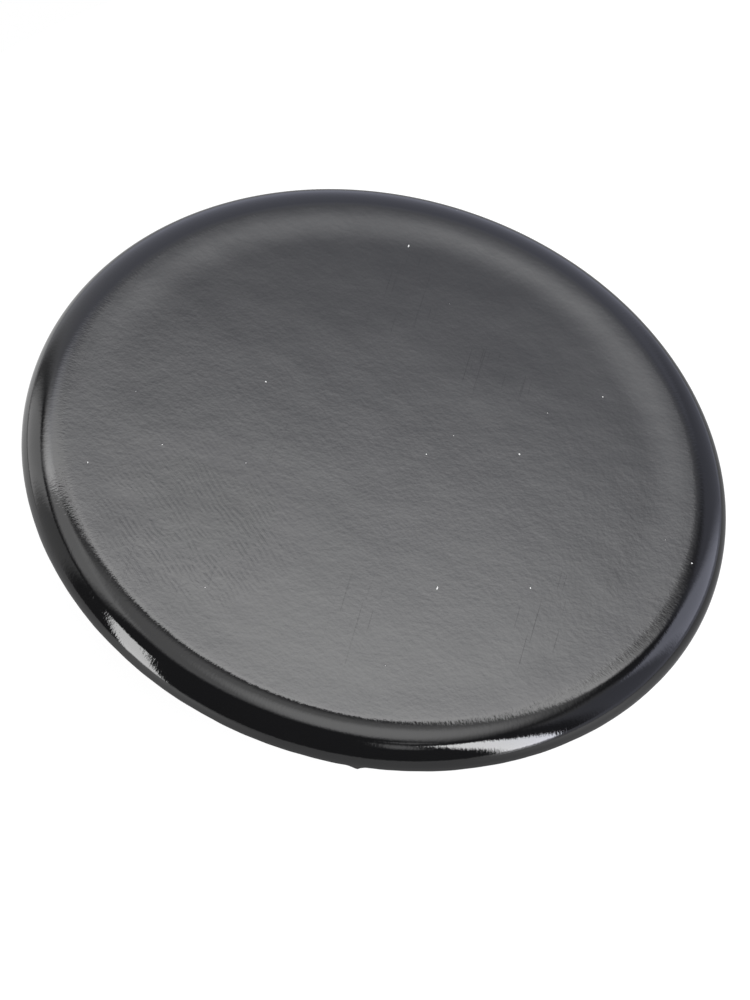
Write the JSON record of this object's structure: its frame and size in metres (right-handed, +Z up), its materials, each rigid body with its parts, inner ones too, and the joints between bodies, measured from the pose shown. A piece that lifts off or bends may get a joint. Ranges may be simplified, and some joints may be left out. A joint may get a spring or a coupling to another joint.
{
  "type": "security tag detacher",
  "caption": "Low-profile round magnetic detacher for hard security tags: a glossy black disc cap over a tapered housing with rubber feet underneath.",
  "frame": {"origin": "on the surface the detacher stands on, under the centre of the disc", "axes": "+Z up along the disc's axis, out of the detaching face; -Y towards the user; the feet lie on the X and Y axes"},
  "size_m": [0.068, 0.068, 0.015],
  "materials": {
    "gloss_cap": "high-gloss black moulding with a very fine ripple",
    "matte_case": "fine spark-eroded texture, dark charcoal black",
    "foot_rubber": "soft matte black rubber",
    "gasket_rubber": "matte black rubber",
    "pad_foam": "closed-cell grey foam rubber",
    "zinc_steel": "bright zinc-plated steel",
    "magnet_nickel": "nickel-plated magnet",
    "spacer_brass": "turned brass",
    "label_foil": "blank satin foil"
  },
  "bodies": {
    "root": {"top_cap": "gloss_cap", "housing": "matte_case", "base_plate": "matte_case", "rim_gasket": "gasket_rubber", "rating_label": "label_foil", "yoke_cup": "zinc_steel", "core_magnet": "magnet_nickel", "pole_piece": "zinc_steel", "spacer_ring": "spacer_brass", "cushion_pad": "pad_foam", "ring_magnet_1": "magnet_nickel", "ring_magnet_2": "magnet_nickel", "ring_magnet_3": "magnet_nickel", "ring_magnet_4": "magnet_nickel", "ring_magnet_5": "magnet_nickel", "ring_magnet_6": "magnet_nickel", "foot_1": "foot_rubber", "screw_1": "zinc_steel", "foot_2": "foot_rubber", "screw_2": "zinc_steel", "foot_3": "foot_rubber", "screw_3": "zinc_steel", "foot_4": "foot_rubber", "screw_4": "zinc_steel"}
  },
  "joints": []
}
